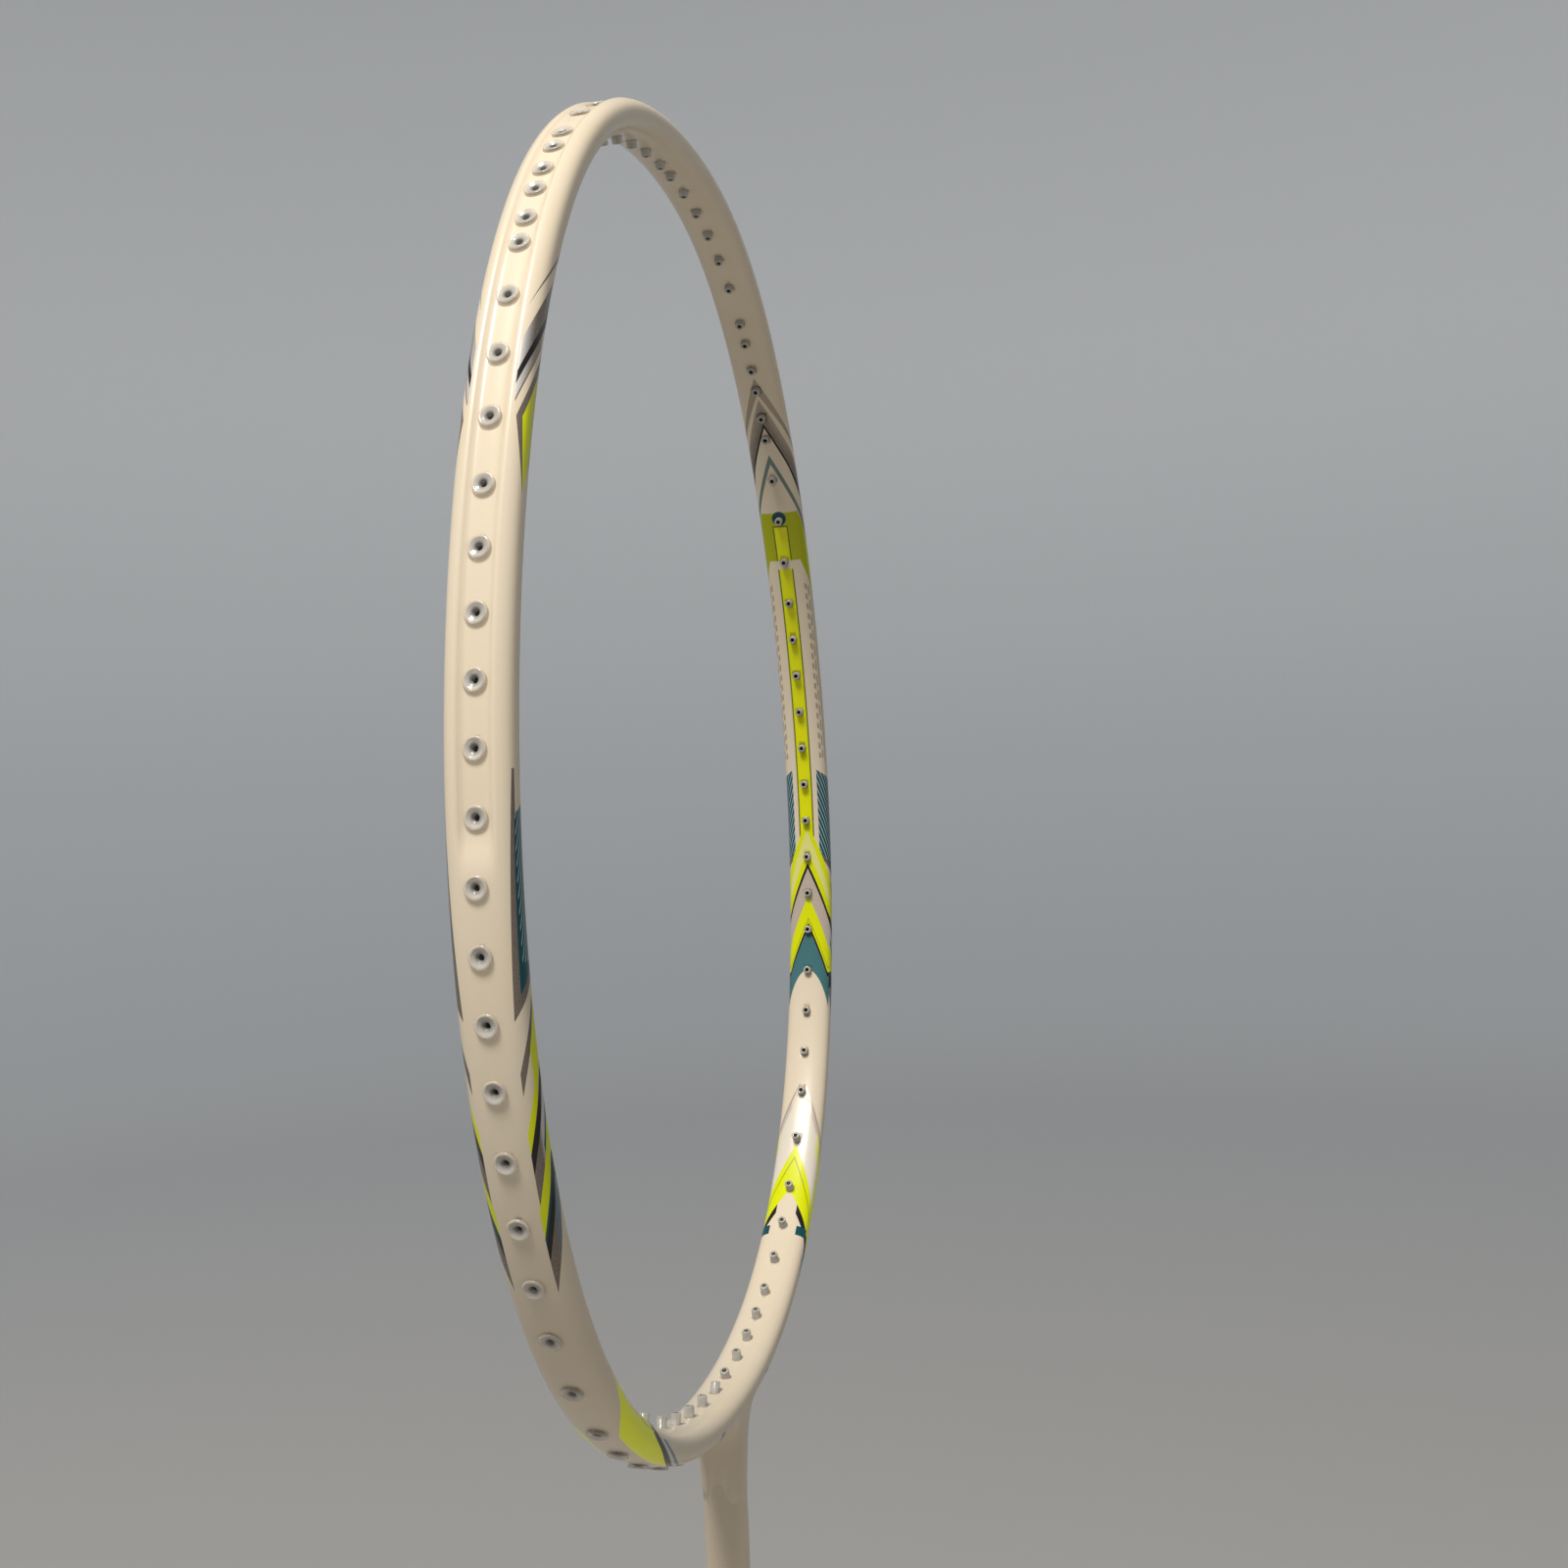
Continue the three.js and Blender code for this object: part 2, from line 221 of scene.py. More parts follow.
def hoop_surface(length, share):
    """A point on the outside of the hoop."""
    point, way = hoop_station(length)
    out, y = section(share)
    if out > 0:
        out -= groove_depth(length, y)
    place = point + way * out + Vector((0, y, 0))
    if out > 0 and abs(place.x) < ROOT_HALF_WIDTH + 2 * MM and place.z < HOOP_ORIGIN:
        own = THROAT_CENTRE - place.z
        root = root_depth(place.x, y)
        blend = min(ROOT_BLEND, max(own, root, 1e-6))
        overlap = max(blend - abs(own - root), 0.0) / blend
        if root > 0:
            place.z = THROAT_CENTRE - max(own, root) - overlap * overlap * blend / 4
    return place


# ---- making pieces ----
def piece_from(bm, name, material, smooth_shading=True):
    """An object in the scene from a finished bmesh."""
    mesh = bpy.data.meshes.new(name)
    for face in bm.faces:
        face.smooth = smooth_shading
    bm.to_mesh(mesh)
    bm.free()
    mesh.materials.append(material)
    piece = bpy.data.objects.new(name, mesh)
    bpy.context.scene.collection.objects.link(piece)
    return piece


def wrapped_grid(rows, columns, place, chart):
    """A grid of rows by columns bent into a tube. place(u, v) is a corner's point and chart(u, v) its
    place on the piece's own map, for u along the rows and v round the columns, both from 0 to 1."""
    bm = bmesh.new()
    layer = bm.loops.layers.uv.new("Chart")
    bmesh.ops.create_grid(bm, x_segments=rows, y_segments=columns, size=1.0)
    shares = {vert: ((vert.co.x + 1) / 2, (vert.co.y + 1) / 2) for vert in bm.verts}
    for face in bm.faces:
        for loop in face.loops:
            loop[layer].uv = chart(*shares[loop.vert])
    for vert, (u, v) in shares.items():
        vert.co = place(u, v)
    bmesh.ops.remove_doubles(bm, verts=bm.verts, dist=2e-6)
    return bm


def close_ends(bm):
    """Caps the open rims of a tube and turns every face outwards."""
    rims = [edge for edge in bm.edges if edge.is_boundary]
    if rims:
        bmesh.ops.holes_fill(bm, edges=rims, sides=0)
    bmesh.ops.recalc_face_normals(bm, faces=bm.faces)


def lathe(profile, steps, closed=False):
    """A solid of revolution about Z from (radius, height) points that start and end on the axis,
    or that run round to the first point again when closed."""
    bm = bmesh.new()
    verts = [bm.verts.new((radius, 0, height)) for radius, height in profile]
    pairs = list(zip(verts, verts[1:]))
    if closed:
        pairs.append((verts[-1], verts[0]))
    edges = [bm.edges.new(pair) for pair in pairs]
    bmesh.ops.spin(
        bm, geom=verts + edges, cent=(0, 0, 0), axis=(0, 0, 1), dvec=(0, 0, 0),
        angle=2 * math.pi, steps=steps, use_merge=True, use_duplicate=False,
    )
    bmesh.ops.remove_doubles(bm, verts=bm.verts, dist=1e-7)
    bmesh.ops.recalc_face_normals(bm, faces=bm.faces)
    return bm


def sharpen(piece, degrees=35):
    """Keeps edges sharper than an angle crisp."""
    mesh = piece.data
    bm = bmesh.new()
    bm.from_mesh(mesh)
    for edge in bm.edges:
        if len(edge.link_faces) == 2 and edge.calc_face_angle() > math.radians(degrees):
            edge.smooth = False
    bm.to_mesh(mesh)
    bm.free()


# ---- finishes ----
class Finish:
    """A material with one Principled shader, and short ways to wire it."""

    def __init__(self, name, **settings):
        self.material = bpy.data.materials.new(name)
        self.material.use_nodes = True
        self.tree = self.material.node_tree
        self.shader = self.tree.nodes["Principled BSDF"]
        for socket, value in settings.items():
            self.shader.inputs[socket.replace("_", " ")].default_value = value

    def node(self, kind, **settings):
        made = self.tree.nodes.new("ShaderNode" + kind)
        for key, value in settings.items():
            setattr(made, key, value)
        return made

    def feed(self, socket, value):
        if isinstance(value, bpy.types.NodeSocket):
            self.tree.links.new(value, socket)
        else:
            socket.default_value = value

    def math(self, operation, *values, clamp=False):
        made = self.node("Math", operation=operation, use_clamp=clamp)
        for socket, value in zip(made.inputs, values):
            self.feed(socket, value)
        return made.outputs[0]

    def plus(self, first, second):
        return self.math("ADD", first, second)

    def minus(self, first, second):
        return self.math("SUBTRACT", first, second)

    def times(self, first, second):
        return self.math("MULTIPLY", first, second)

    def mix(self, share, first, second):
        """A colour between two others."""
        made = self.node("Mix", data_type="RGBA")
        self.feed(made.inputs["Factor"], share)
        self.feed(made.inputs[6], first)
        self.feed(made.inputs[7], second)
        return made.outputs[2]

    def blend(self, share, first, second):
        """A number between two others."""
        made = self.node("Mix", data_type="FLOAT")
        self.feed(made.inputs["Factor"], share)
        self.feed(made.inputs[2], first)
        self.feed(made.inputs[3], second)
        return made.outputs[0]

    def ramp(self, value, low, high):
        """0 to 1 as a value goes from low to high, smoothly."""
        made = self.node("MapRange", interpolation_type="SMOOTHSTEP")
        for socket, number in zip(made.inputs, (value, low, high, 0.0, 1.0)):
            self.feed(socket, number)
        return made.outputs[0]

    def above(self, value, limit):
        return self.math("GREATER_THAN", value, limit)

    def below(self, value, limit):
        return self.math("LESS_THAN", value, limit)

    def all(self, *tests):
        """1 where every test holds."""
        result = tests[0]
        for test in tests[1:]:
            result = self.times(result, test)
        return result

    def any(self, *tests):
        result = tests[0]
        for test in tests[1:]:
            result = self.math("MAXIMUM", result, test)
        return result

    def band(self, value, low, high):
        return self.all(self.above(value, low), self.below(value, high))

    def stripe(self, value, start, width):
        """A band of a given width from a start that may itself vary."""
        return self.band(value, start, self.plus(start, width))

    def line(self, value, slope, offset):
        """offset + slope * value."""
        return self.math("MULTIPLY_ADD", value, slope, offset)

    def line_through(self, value, slope, at, height):
        """The straight line of a slope that has this height where the value is at."""
        return self.line(value, slope, height - slope * at)

    def object_place(self):
        return self.node("TexCoord").outputs["Object"]

    def chart(self):
        """The two coordinates of the piece's own map."""
        split = self.node("SeparateXYZ")
        self.feed(split.inputs[0], self.node("UVMap", uv_map="Chart").outputs[0])
        return split.outputs[0], split.outputs[1]

    def noise(self, scale, detail=3.0, roughness=0.5, place=None):
        made = self.node("TexNoise")
        self.feed(made.inputs["Vector"], place or self.object_place())
        made.inputs["Scale"].default_value = scale
        made.inputs["Detail"].default_value = detail
        made.inputs["Roughness"].default_value = roughness
        return made.outputs["Fac"]

    def bump(self, height, distance, strength=1.0):
        made = self.node("Bump")
        made.inputs["Strength"].default_value = strength
        made.inputs["Distance"].default_value = distance
        self.feed(made.inputs["Height"], height)
        return made.outputs["Normal"]

    def wear(self, socket, value):
        self.feed(self.shader.inputs[socket], value)


# ---- colours ----
CREAM = (0.662, 0.562, 0.42, 1)
CREAM_WARM = (0.648, 0.537, 0.385, 1)
PEARL = (0.67, 0.60, 0.50, 1)
SHELL = (0.58, 0.47, 0.375, 1)
CLAY = (0.36, 0.32, 0.27, 1)
LIME = (0.62, 0.655, 0.0, 1)
LIME_WITH_PAINTED_LIGHT = (0.88, 0.92, 0.0, 1)
LIME_PAINTED_LIT_MIDDLE = (0.70, 0.70, 0.0, 1)
PALE_LIME = (0.66, 0.64, 0.19, 1)
DARK_LIME = (0.36, 0.38, 0.0, 1)
OLIVE_PAINTED_EDGE_SHADE = (0.14, 0.145, 0.0, 1)
MOSS = (0.13, 0.175, 0.155, 1)
TEAL = (0.004, 0.062, 0.078, 1)
SEA = (0.05, 0.145, 0.155, 1)
SLATE = (0.13, 0.19, 0.22, 1)
HATCH = (0.42, 0.50, 0.50, 1)
TAUPE = (0.155, 0.122, 0.095, 1)
SMOKE = (0.33, 0.265, 0.195, 1)
FROST = (0.24, 0.195, 0.155, 1)
TICK_BROWN = (0.36, 0.29, 0.205, 1)
RULE_BROWN = (0.30, 0.245, 0.18, 1)
GRAPHITE = (0.17, 0.19, 0.18, 1)
SILVER = (0.56, 0.53, 0.49, 1)
INK = (0.012, 0.011, 0.012, 1)
GLINT = (0.95, 0.94, 0.92, 1)


# ---- the artwork on the hoop ----
# In millimetres: w is the way round the tube from the middle of its inner face, s the way from the
# crown along the centreline, and rake the way along the slant that all the chevrons share.
RAKE_SLOPE = 2.2
RAKE_CURVE = 0.063
INNER_EDGE = 6.3  # where the inner face has turned into the side face
SHEEN, HALF_METAL, FOIL = 0.3, 0.45, 0.6  # how metallic an ink is


class Artwork:
    """Colours laid one over another on the lacquer, with where the ink is metallic."""

    def __init__(self, finish, ground):
        self.finish = finish
        self.colour = ground
        self.metal = 0.0

    def lay(self, colour, where, metal=0.0):
        self.colour = self.finish.mix(where, self.colour, colour)
        self.metal = self.finish.blend(where, self.metal, metal)


def upper_slashes(f, art, w, s, rake):
    """The slashes and the lime panel under the crown's shoulder."""
    outside = f.ramp(w, 5.0, 8.0)
    first = f.all(f.band(rake, 74.1, f.line(w, -0.42, 78.5)), f.below(w, 10.3))
    art.lay(f.mix(outside, SMOKE, TAUPE), first, SHEEN)
    smoky = f.mix(f.ramp(rake, 79.0, 86.5), SMOKE, TAUPE)
    shine = f.mix(outside, smoky, f.mix(f.ramp(w, 8.6, 10.3), TAUPE, SILVER))
    art.lay(shine, f.all(f.band(rake, 79.8, 86.2), f.below(w, 10.6)), FOIL)

    on_side = f.ramp(w, 4.0, 6.8)
    ink_top = f.blend(on_side, 86.2, f.line(w, -0.28, 88.0))
    ink_foot = f.blend(on_side, 87.4, f.line(w, -0.4, 91.5))
    shine_foot = f.line(w, -0.3, 93.2)
    frosted = f.mix(f.ramp(w, 8.2, 10.3), FROST, SILVER)
    art.lay(frosted, f.all(f.band(rake, ink_foot, shine_foot), f.band(w, 6.8, 10.6)), 0.35)
    art.lay(INK, f.all(f.band(rake, ink_top, ink_foot), f.below(w, 10.55)))
    art.lay(TAUPE, f.all(f.stripe(rake, shine_foot, 0.7), f.band(w, 6.8, 10.4)), SHEEN)

    border = f.line_through(s, -0.179, 122.8, 9.95)
    edge = f.line_through(s, -0.103, 123.3, 8.95)
    turned = f.ramp(w, 5.0, 7.0)
    dark_foot = f.line(turned, 0.9, 96.8)
    dark = f.all(f.band(rake, 94.4, dark_foot), f.below(w, border))
    art.lay(f.mix(turned, MOSS, TAUPE), dark, 0.2)
    art.lay(TAUPE, f.all(f.above(rake, 94.4), f.band(w, edge, border), f.below(s, 134.0)), SHEEN)
    lime_foot = f.math("MAXIMUM", f.line(w, 3.0, 110.0), 122.0)
    panel = f.all(f.above(rake, 97.5), f.band(s, 109.6, lime_foot), f.below(w, edge))
    art.lay(f.mix(f.ramp(w, 5.6, 7.4), DARK_LIME, LIME), panel)


def long_strip(f, art, w, s):
    """The narrow lime strip along the inner holes and the fine ticks beside it; painted shading lightens
    the strip down its middle and darkens its edges to olive.
    """
    # painted shade: olive edges and a lighter middle stand in for the shading across the strip's rounded
    # face
    art.lay(OLIVE_PAINTED_EDGE_SHADE, f.all(f.band(s, 112.9, 196.0), f.below(w, 1.95)), 0.2)
    lime_with_painted_light = f.mix(f.ramp(w, 0.9, 1.7), LIME_PAINTED_LIT_MIDDLE, LIME)
    art.lay(lime_with_painted_light, f.all(f.band(s, 113.3, 196.0), f.below(w, 1.6)))
    art.lay(CREAM, f.all(f.band(s, 122.0, 124.2), f.below(w, 1.95)))
    from_hole = f.minus(s, 111.0)
    spot = f.plus(f.times(w, w), f.times(from_hole, from_hole))
    art.lay(TEAL, f.below(spot, 3.2))
    slanted = f.line(w, -0.8, s)
    for low, high, pitch, long in ((4.25, 4.85, 2.6, 1.5), (5.1, 5.5, 3.9, 2.7)):
        beat = f.math("MODULO", slanted, pitch)
        art.lay(TICK_BROWN, f.all(f.band(s, 128.0, 174.0), f.band(w, low, high), f.below(beat, long)))
    art.lay(RULE_BROWN, f.all(f.band(s, 127.0, 175.0), f.band(w, 6.1, 6.4)), SHEEN)


def hatched_patch(f, art, w, s, rake):
    """The long teal patch with its fine raked lines and taupe border on the side face."""
    outer = f.line_through(s, 0.0486, 174, 8.6)
    inner = f.line_through(s, 0.0277, 180, 8.3)
    foot = f.line(w, 1.26, 194.0)
    border_foot = f.line(w, 1.36, 195.0)
    art.lay(TAUPE, f.all(f.band(w, 8.1, outer), f.band(s, 174.0, border_foot)), 0.4)
    art.lay(TAUPE, f.all(f.band(w, 3.2, outer), f.band(s, foot, border_foot)), 0.4)
    patch = f.all(f.band(w, 3.2, inner), f.band(s, f.line(w, 0.65, 174.9), foot))
    art.lay(TEAL, patch)
    beat = f.math("MODULO", rake, 2.2)
    art.lay(HATCH, f.all(patch, f.below(w, 8.2), f.below(beat, 0.5), f.below(s, 201.0)))


def waist_chevrons(f, art, w, s, rake):
    """The nested chevrons below the patch, which wrap from the inner face to both side faces."""
    on_face = f.minus(1.0, f.ramp(w, 4.8, 7.2))
    taper = f.line_through(w, -0.35, 10.3, 187.1)
    art.lay(TAUPE, f.all(f.band(rake, taper, 190.5), f.band(w, 6.6, 10.3)), 0.4)
    art.lay(LIME, f.all(f.band(rake, 190.2, 197.0), f.below(w, 8.4)))
    art.lay(PALE_LIME, f.all(f.band(rake, f.line(w, 0.35, 192.6), 198.2), f.below(w, 6.0)))

    shifted = f.minus(rake, f.times(on_face, 2.5))
    edge = f.below(w, 10.45)
    shell = f.mix(f.ramp(w, 4.2, 6.4), SHELL, SILVER)
    shade = f.mix(f.ramp(w, 8.0, 8.9), shell, TAUPE)
    art.lay(shade, f.all(f.band(shifted, 200.0, 208.0), edge), HALF_METAL)
    art.lay(LIME, f.all(f.band(shifted, 195.6, 198.8), edge))
    art.lay(INK, f.all(f.band(shifted, 198.8, f.line(on_face, -1.7, 202.0)), edge))
    art.lay(TEAL, f.all(f.band(rake, 205.4, 207.0), f.band(w, 6.0, 8.2)))

    lime_top = f.line(on_face, 3.0, 206.9)
    lime_foot = f.line(on_face, 5.8, 211.3)
    below_lime = f.plus(lime_foot, 1.3)
    ends = f.below(w, 10.75)
    inner, side = f.below(w, 5.6), f.above(w, 5.6)
    slated = f.mix(f.ramp(w, 7.5, 9.5), SLATE, TAUPE)
    art.lay(slated, f.all(f.band(rake, lime_foot, 221.0), ends), 0.5)
    arch = f.line(f.times(w, w), 0.30, 229.4)
    art.lay(SEA, f.all(f.above(rake, f.plus(lime_foot, 1.4)), f.below(s, arch), f.below(w, 5.7)))
    art.lay(LIME, f.all(f.band(rake, lime_top, lime_foot), ends))
    art.lay(DARK_LIME, f.all(f.stripe(rake, f.minus(lime_foot, 1.5), 0.6), inner))
    art.lay(TEAL, f.all(f.band(rake, lime_foot, below_lime), ends, side))
    art.lay(INK, f.all(f.stripe(rake, below_lime, 2.8), ends, side))
    art.lay(INK, f.all(f.stripe(rake, lime_foot, 1.2), inner))


def lower_panel(f, art, w, s, rake):
    """The silver sheen, the lower chevron and the big lime panel with its three closing stripes."""
    inner, side = f.below(w, INNER_EDGE), f.above(w, INNER_EDGE)
    art.lay(CLAY, f.all(f.band(rake, 257.6, 258.7), f.band(w, 0.6, INNER_EDGE)), SHEEN)
    art.lay(SHELL, f.all(f.band(rake, 258.7, 261.0), f.band(w, 2.2, INNER_EDGE)), 0.25)
    art.lay(PEARL, f.all(f.band(rake, 261.0, 275.5), inner), 0.05)
    art.lay(PALE_LIME, f.all(f.band(rake, 259.5, 265.0), f.band(w, 4.8, INNER_EDGE)))
    foot = f.line(w, -0.75, 288.5)
    art.lay(LIME, f.all(f.band(rake, 275.8, foot), inner))
    art.lay(DARK_LIME, f.all(f.band(rake, 278.9, 279.7), inner))
    art.lay(INK, f.all(f.stripe(rake, foot, 2.6), f.band(w, 2.4, INNER_EDGE)))
    art.lay(TEAL, f.all(f.band(s, 298.4, 301.0), f.band(w, 3.2, 6.0)))

    # partly painted light: the side-face lime is brighter than the fluorescent ink alone, standing in for
    # light from the -Y side
    art.lay(LIME_WITH_PAINTED_LIGHT, f.all(f.band(rake, f.line(w, -0.7, 264.9), 283.1), side, f.below(w, 11.2)))
    edge = f.below(w, 11.9)
    art.lay(INK, f.all(f.band(rake, 282.8, 286.4), side, edge))
    art.lay(SILVER, f.all(f.band(rake, 286.4, 288.6), side, edge), 0.5)
    art.lay(SLATE, f.all(f.band(rake, 288.6, 290.4), side, edge))
    leaning = f.line(w, 0.35, s)
    art.lay(GRAPHITE, f.all(f.band(leaning, 344.2, 346.6), f.band(w, 7.6, 13.0)), 0.2)


def lacquer(name, artwork=None):
    """Pearl cream lacquer under a clear coat, with any artwork between the two."""
    f = Finish(name, Coat_Weight=0.4, Coat_Roughness=0.13, Coat_IOR=1.3, IOR=1.3)
    cloud = f.noise(38.0, detail=4.0)
    clouded = f.mix(f.ramp(cloud, 0.35, 0.7), CREAM, CREAM_WARM)
    art = Artwork(f, f.mix(0.55, CREAM, clouded))
    if artwork:
        artwork(f, art)
    glint = f.ramp(f.noise(9000.0, detail=1.0), 0.5, 0.78)
    sparkle = f.times(glint, art.metal)
    f.wear("Base Color", f.mix(f.times(sparkle, 0.5), art.colour, GLINT))
    f.wear("Metallic", f.times(art.metal, 0.8))
    f.wear("Roughness", f.blend(art.metal, f.blend(cloud, 0.27, 0.37), 0.3))
    f.wear("Normal", f.bump(f.noise(900.0, detail=2.0), 0.00002, 0.35))
    return f.material


def hoop_artwork(f, art):
    w, s = f.chart()
    rake = f.minus(s, f.times(w, f.line(w, RAKE_CURVE, RAKE_SLOPE)))
    upper_slashes(f, art, w, s, rake)
    long_strip(f, art, w, s)
    hatched_patch(f, art, w, s, rake)
    waist_chevrons(f, art, w, s, rake)
    lower_panel(f, art, w, s, rake)


# ---- the head ----
ROOT_REACH = 22 * MM  # how far along the hoop the rings stay close on each side of the root
MAIN_RINGS = 235
ROOT_RINGS = 56


def hoop_rows():
    """Lengths of the hoop's rings: close together round the root, wider elsewhere."""
    main = HALF_LENGTH - ROOT_REACH
    half = spaced(0, main, MAIN_RINGS) + spaced(main, HALF_LENGTH, ROOT_RINGS)[1:]
    return [-length for length in reversed(half[1:])] + half


def head():
    rows = hoop_rows()
    last = len(rows) - 1

    def place(u, v):
        return hoop_surface(rows[round(u * last)], v)

    def chart(u, v):
        return girth(v) / MM, abs(rows[round(u * last)]) / MM

    bm = wrapped_grid(last, SECTION_STEPS, place, chart)
    bmesh.ops.recalc_face_normals(bm, faces=bm.faces)
    piece = piece_from(bm, "hoop", lacquer("pearl_lacquer_hoop", hoop_artwork))
    drill_holes(piece)
    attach(piece, "root")
    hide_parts("head_frame")


def hole_axis(number, side):
    """(point on the centreline, way out) of a string hole."""
    length = HOLES[number - 1]
    point, way = hoop_station(side * length)
    if number == len(HOLES):
        inner_end = point - way * TUBE_RADIAL / 2
        way = Vector((side * THROAT_HOLE_LEAN, 0, -1)).normalized()
        point = inner_end + way * TUBE_RADIAL / 2
    return point, way


def turned_to(way, point):
    """The move that stands a piece made on Z at a point, facing a way."""
    turn = Vector((0, 0, 1)).rotation_difference(way)
    return Matrix.Translation(point) @ turn.to_matrix().to_4x4()


def drill_holes(piece):
    """Cuts the string holes right through the hoop."""
    bm = bmesh.new()
    for number in range(1, len(HOLES) + 1):
        for side in (-1, 1):
            point, way = hole_axis(number, side)
            bmesh.ops.create_cone(
                bm, cap_ends=True, segments=16, radius1=HOLE_RADIUS, radius2=HOLE_RADIUS,
                depth=DRILL_LENGTH, matrix=turned_to(way, point),
            )
    mesh = bpy.data.meshes.new("drills")
    bm.to_mesh(mesh)
    bm.free()
    drills = bpy.data.objects.new("drills", mesh)
    bpy.context.scene.collection.objects.link(drills)
    cut = piece.modifiers.new("string_holes", "BOOLEAN")
    cut.operation = "DIFFERENCE"
    cut.solver = "EXACT"
    cut.object = drills
    done = piece.evaluated_get(bpy.context.evaluated_depsgraph_get())
    drilled = bpy.data.meshes.new_from_object(done)
    piece.modifiers.clear()
    piece.data = drilled
    bpy.data.objects.remove(drills)


# ---- the grommets ----
NYLON_HOLE_PAINTED_SHADE = (0.27, 0.255, 0.23, 1)
NYLON_DISH_PAINTED_SHADE = (0.55, 0.52, 0.465, 1)
NYLON_LIP = (0.74, 0.66, 0.54, 1)
NYLON_RIM_PAINTED_SHADE = (0.56, 0.49, 0.39, 1)
NYLON_BORE_PAINTED_SHADE = (0.12, 0.11, 0.10, 1)
NYLON_BORE_MOUTH = (0.38, 0.355, 0.32, 1)
NYLON_TUBE_SHADE = (0.46, 0.43, 0.37, 1)
NYLON_TUBE = (0.58, 0.54, 0.46, 1)
GROMMET_STEPS = 24
GROMMET_LIFT = 0.04 * MM
GROMMET_PLAY = 0.05 * MM  # how differently one grommet is seated from the next


def clear_nylon():
    """Clear nylon over the lacquer: the rim shows the paint; the dish is greyer and darker towards the
    hole, the bore dark and the flange's outer edge darker, all painted shade.
    """
    f = Finish("clear_nylon", IOR=1.46, Coat_Weight=0.5, Coat_Roughness=0.08, Specular_IOR_Level=0.35)
    radius, height = f.chart()
    cloud = f.noise(700.0, detail=2.0)
    # painted shade: the clear dish is grey, darkening towards the hole beneath it
    flange = f.mix(f.ramp(radius, 0.46, 1.1), NYLON_HOLE_PAINTED_SHADE, NYLON_DISH_PAINTED_SHADE)
    flange = f.mix(f.ramp(radius, 1.30, 1.52), flange, NYLON_LIP)
    # painted shade: the flange's outer edge darkens where it sits on the hoop
    flange = f.mix(f.ramp(radius, 1.72, 1.88), flange, NYLON_RIM_PAINTED_SHADE)
    # painted shade: the bore darkens with depth
    bore = f.mix(f.ramp(height, -2.4, 0.1), NYLON_BORE_PAINTED_SHADE, NYLON_BORE_MOUTH)
    tube = f.mix(f.ramp(cloud, 0.3, 0.7), NYLON_TUBE_SHADE, NYLON_TUBE)
    on_tube = f.all(f.below(height, -0.1), f.above(radius, 0.5))
    in_bore = f.all(f.below(radius, 0.5), f.below(height, 0.0))
    f.wear("Base Color", f.mix(in_bore, f.mix(on_tube, flange, tube), bore))
    see_through = f.blend(f.ramp(radius, 1.2, 1.6), 0.7, 0.42)
    f.wear("Alpha", f.blend(in_bore, see_through, 1.0))
    f.wear("Roughness", f.blend(cloud, 0.1, 0.24))
    f.wear("Normal", f.bump(f.noise(1800.0), 0.00002, 0.3))
    return f.material


def grommet_profile(barrel):
    """(radius, height) points of a flanged tube; height 0 is the surface it sits on."""
    points = [
        (0.46, -barrel), (0.54, -barrel - 0.04), (0.86, -barrel - 0.02), (0.95, -barrel + 0.12),
        (0.97, -0.02), (1.70, 0.0), (1.85, 0.11), (1.88, 0.26), (1.82, 0.42), (1.66, 0.53),
        (1.46, 0.54), (1.30, 0.45), (1.1, 0.37), (0.86, 0.29), (0.65, 0.20), (0.52, 0.06), (0.46, -0.3),
    ]
    return [(radius * MM, height * MM) for radius, height in points]


def grommet(barrel):
    """A flanged tube on Z, with its own map of radius and height."""
    bm = lathe(grommet_profile(barrel / MM), GROMMET_STEPS, closed=True)
    layer = bm.loops.layers.uv.new("Chart")
    for face in bm.faces:
        for loop in face.loops:
            at = loop.vert.co
            loop[layer].uv = (math.hypot(at.x, at.y) / MM, at.z / MM)
    return bm


def grommets():
    """One clear grommet in every string hole, each seated a little differently."""
    nylon = clear_nylon()
    for number, length in enumerate(HOLES, 1):
        for side in (-1, 1):
            point, way = hole_axis(number, side)
            seat = TUBE_RADIAL / 2 - (GROOVE_DEPTH if length < GROOVE_END else 0)
            proud = GROMMET_PROUD if number < FIRST_LONG_GROMMET else LONG_GROMMET_PROUD
            bm = grommet(seat + TUBE_RADIAL / 2 + proud)
            lift = GROMMET_LIFT + GROMMET_PLAY * math.sin(number * 12.9898 + side * 4.1)
            bmesh.ops.transform(bm, matrix=turned_to(way, point + way * (seat + lift)), verts=bm.verts)
            name = ("left" if side < 0 else "right") + f"_{number:02d}"
            piece = piece_from(bm, "nylon_grommet_" + name, nylon)
            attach(piece, "root")
            if number in OWN_GROMMETS:
                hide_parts("grommet_" + name)


# ---- the shaft ----
SHAFT_GROUPS = ((368.0, -1.0), (236.0, 1.0))  # (height in millimetres, 1 up or -1 down) of its decals
SHAFT_RAKE = 2.6
SHAFT_SIDES = 48


def shaft_radius(height):
    swell = smooth(height, SHAFT_HIGH.z - SHAFT_FLARE, SHAFT_HIGH.z)
    tucked = SHAFT_TUCK * smooth(height, THROAT_BOTTOM, THROAT_BOTTOM + SHAFT_INSIDE)
    return SHAFT_RADIUS + (SHAFT_TOP_RADIUS - SHAFT_RADIUS) * swell - tucked


